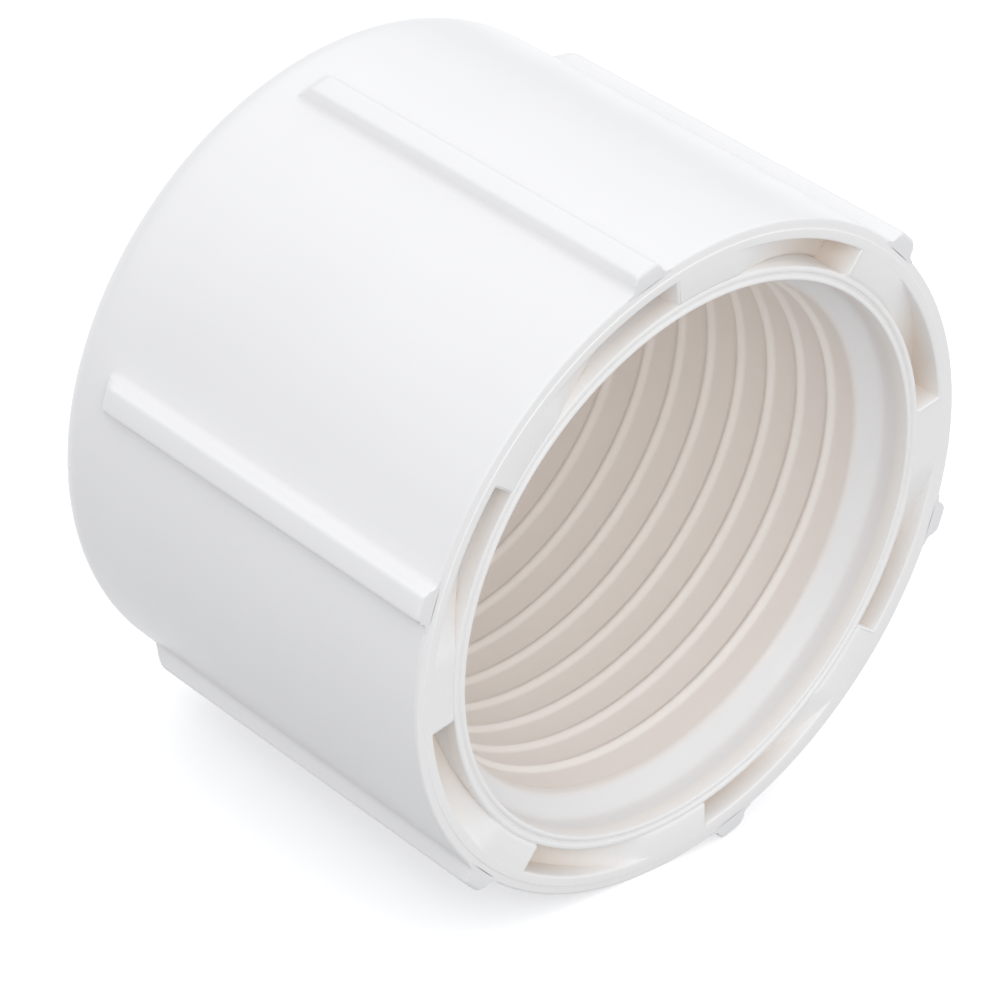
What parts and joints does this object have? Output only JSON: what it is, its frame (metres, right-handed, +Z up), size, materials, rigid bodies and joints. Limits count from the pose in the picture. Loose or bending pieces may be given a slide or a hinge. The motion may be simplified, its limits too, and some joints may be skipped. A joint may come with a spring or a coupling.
{
  "type": "threaded pipe cap",
  "caption": "White plastic pipe cap with a tapered female pipe thread, a recessed ratchet-like mouth face and grip ribs along its outside.",
  "frame": {"origin": "under the middle of the cap, on the surface that it lies on", "axes": "-Y along the cap's axis and out of its mouth, +Y out of its closed end, +Z up"},
  "size_m": [0.0424, 0.0306, 0.0411],
  "materials": {
    "shell_plastic": "white moulded PVC, satin to semi-gloss, with faint flow marks and fine scuffs",
    "mouth_plastic": "white moulded PVC, finely brushed and scuffed on the flat lands",
    "bore_plastic": "the same white PVC seen in the shaded bore, a little warmer and satin"
  },
  "bodies": {
    "root": {"outer_shell": "shell_plastic", "closed_end": "shell_plastic", "grip_rib_1": "shell_plastic", "grip_rib_2": "shell_plastic", "grip_rib_3": "shell_plastic", "grip_rib_4": "shell_plastic", "grip_rib_5": "shell_plastic", "grip_rib_6": "shell_plastic", "threaded_sleeve": "bore_plastic", "mouth_lip": "mouth_plastic", "face_land_1": "mouth_plastic", "face_land_2": "mouth_plastic", "face_land_3": "mouth_plastic", "face_land_4": "mouth_plastic", "face_land_5": "mouth_plastic", "face_land_6": "mouth_plastic", "face_land_7": "mouth_plastic", "face_land_8": "mouth_plastic"}
  },
  "joints": []
}
